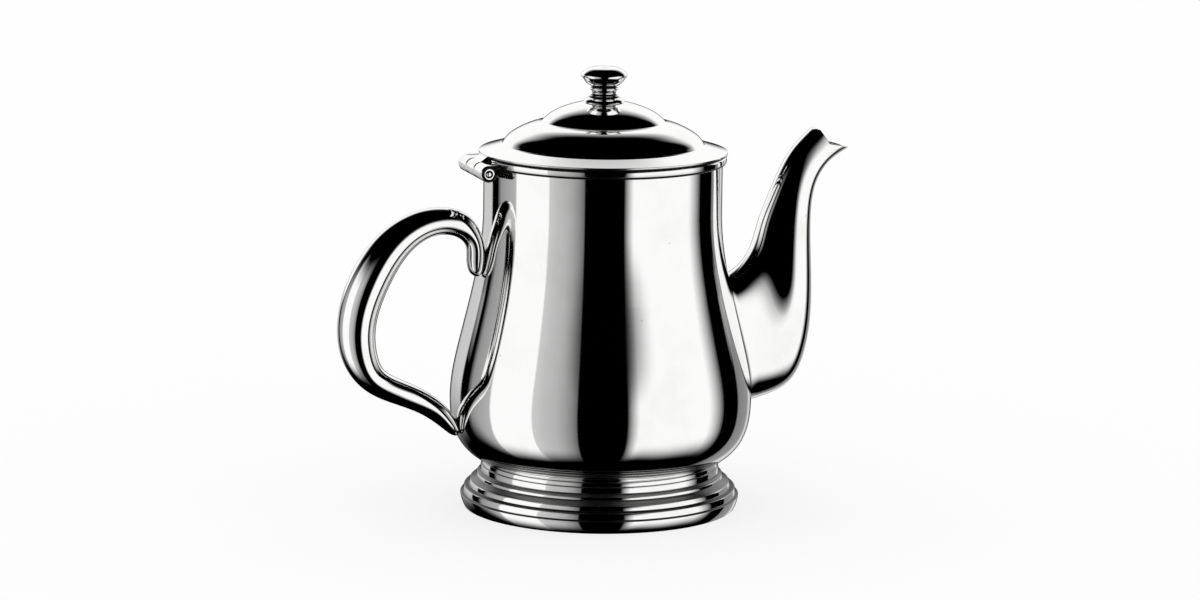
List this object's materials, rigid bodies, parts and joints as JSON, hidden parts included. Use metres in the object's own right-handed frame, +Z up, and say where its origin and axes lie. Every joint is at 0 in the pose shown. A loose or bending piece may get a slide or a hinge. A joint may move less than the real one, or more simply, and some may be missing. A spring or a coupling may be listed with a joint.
{
  "type": "teapot",
  "caption": "Polished metal teapot with a pear-shaped pot on a stepped foot, swan-neck spout, curled hollow handle and a hinged double-dome lid with a knob.",
  "frame": {"origin": "centre of the foot, on the table", "axes": "+Z up, +X towards the spout, -X towards the handle, hinge axis along Y"},
  "size_m": [0.1895, 0.108, 0.1582],
  "materials": {
    "polished_metal": "mirror-polished, with fine polishing lines",
    "satin_metal": "plain satin, inside or small pieces"
  },
  "bodies": {
    "pot": {"body_shell": "polished_metal", "mouth_ring": "polished_metal", "foot_ring": "polished_metal", "spout_left_half": "polished_metal", "spout_right_half": "polished_metal", "strainer_plate": "satin_metal", "handle_left_half": "polished_metal", "handle_right_half": "polished_metal", "hinge_knuckle_left": "polished_metal", "hinge_knuckle_right": "polished_metal", "hinge_pin": "satin_metal"},
    "lid": {"lid_shell": "polished_metal", "lid_bezel": "satin_metal", "lid_knuckle": "polished_metal", "knob": "polished_metal", "knob_collar": "polished_metal", "knob_washer": "satin_metal", "knob_screw": "satin_metal"}
  },
  "joints": [
    {"name": "lid_hinge", "type": "hinge", "parent": "pot", "child": "lid", "pos_m": [-0.04635, 0, 0.1235], "axis": [0, -1, 0], "range_deg": [0, 105]}
  ]
}
